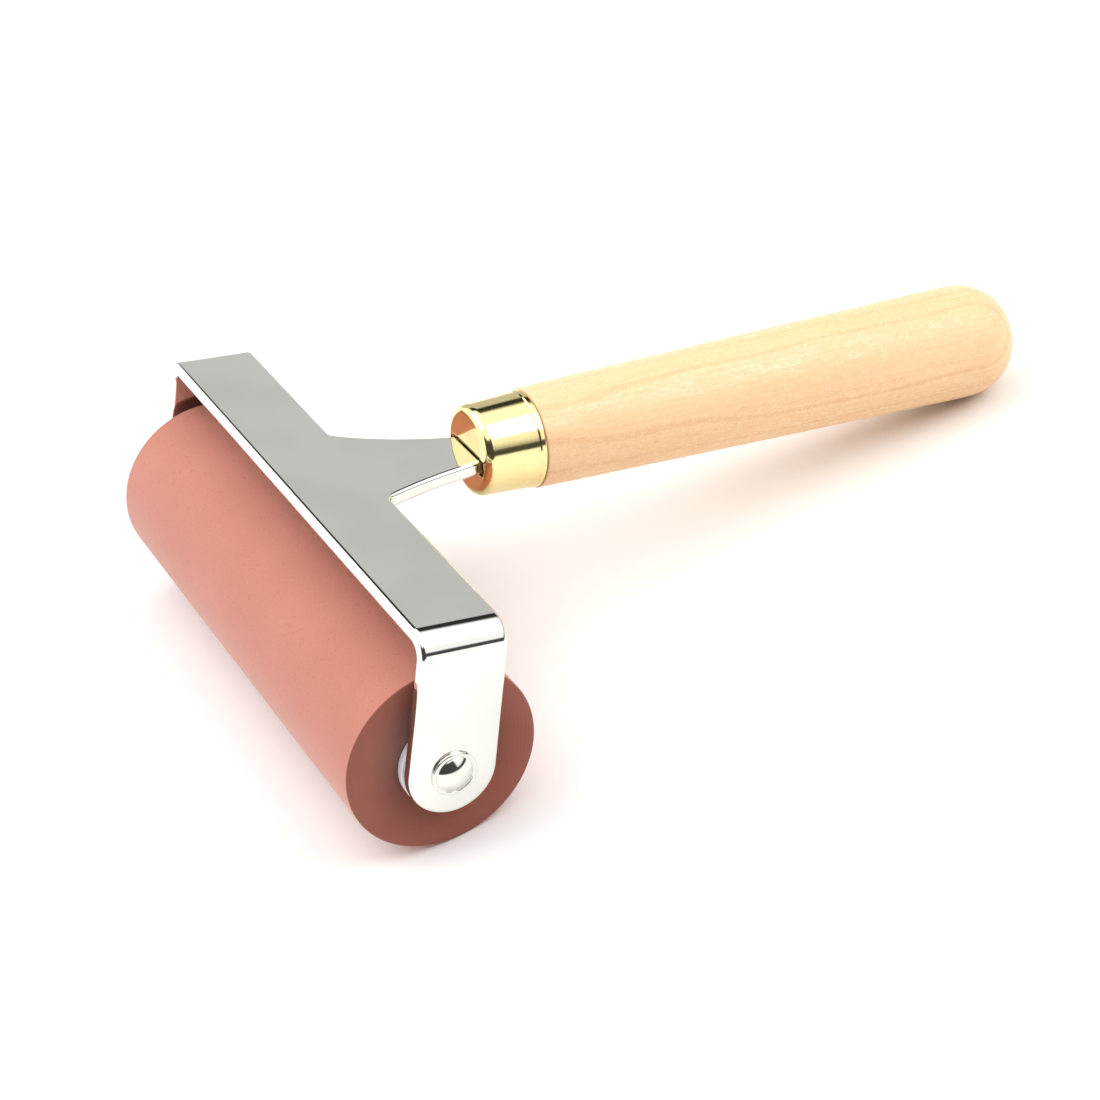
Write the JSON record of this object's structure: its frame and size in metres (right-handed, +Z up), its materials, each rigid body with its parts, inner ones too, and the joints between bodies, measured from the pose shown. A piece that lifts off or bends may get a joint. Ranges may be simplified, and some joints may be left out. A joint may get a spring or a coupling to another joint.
{
  "type": "rubber brayer",
  "caption": "Hand roller for inking and pressing: a rubber roller that turns in a bent plated-steel yoke, on a wooden handle with a brass ferrule.",
  "frame": {"origin": "on the floor, under the middle of the tool's overall box, as it stands on its roller and on the butt of its handle", "axes": "+X along the handle, from the roller towards the butt; +Y along the axle, to the left of someone who looks along +X; +Z up"},
  "size_m": [0.158, 0.1128, 0.0423],
  "materials": {
    "roller_rubber": "smooth salmon-pink rubber, ground matt",
    "core_steel": "drawn steel tube",
    "bush_nylon": "natural white nylon",
    "axle_steel": "bright plated rivet steel",
    "yoke_chrome": "polished nickel-chrome plate with rounded edges",
    "ferrule_brass": "polished brass, coppery on its unpolished end face",
    "handle_wood": "pale turned beech, sanded and thinly waxed"
  },
  "bodies": {
    "yoke": {"yoke_frame": "yoke_chrome", "axle": "axle_steel", "brass_ferrule": "ferrule_brass", "wood_handle": "handle_wood"},
    "roller": {"rubber_cover": "roller_rubber", "core_tube": "core_steel", "bush_left": "bush_nylon", "bush_right": "bush_nylon"}
  },
  "joints": [
    {"name": "roller_spin", "type": "hinge", "parent": "yoke", "child": "roller", "pos_m": [-0.06265, 0, 0.0164], "axis": [0, 1, 0], "continuous": true}
  ]
}
